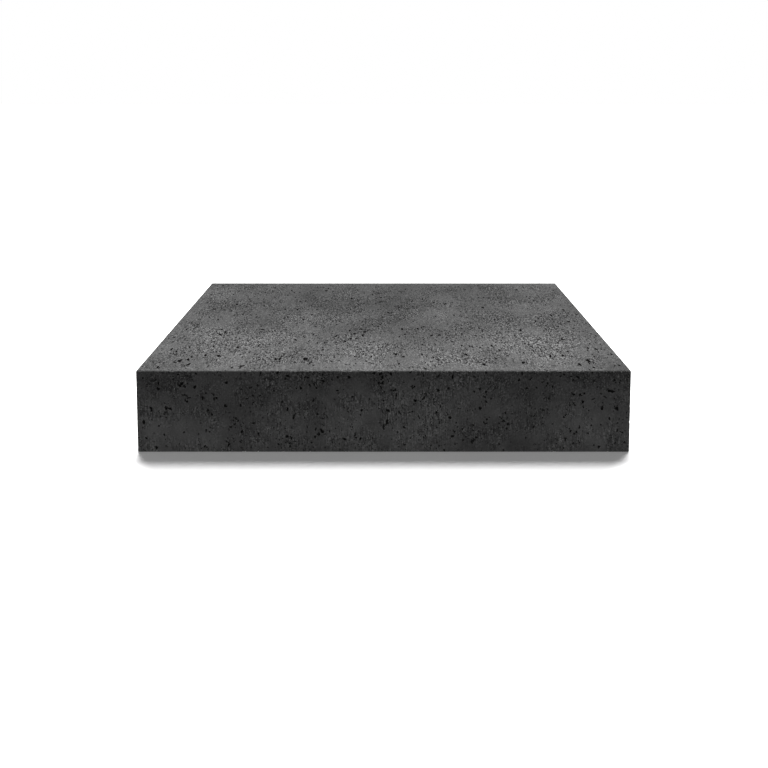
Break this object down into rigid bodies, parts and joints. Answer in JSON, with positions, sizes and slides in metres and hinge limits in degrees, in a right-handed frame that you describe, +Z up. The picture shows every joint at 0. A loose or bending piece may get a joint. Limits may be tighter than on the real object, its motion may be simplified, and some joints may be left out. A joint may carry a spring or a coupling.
{
  "type": "concrete step block",
  "caption": "Solid cast concrete block in dark grey, a wide low prism with rolled arrises, laid on its underside as the tread and riser of one garden or entrance step.",
  "frame": {"origin": "centre of the underside, on the bed that the block is laid on", "axes": "+X along the step, +Y from the front face to the back face, +Z up to the tread"},
  "size_m": [1, 0.5, 0.17],
  "materials": {
    "concrete": "matte"
  },
  "bodies": {
    "root": {"step_block": "concrete"}
  },
  "joints": []
}
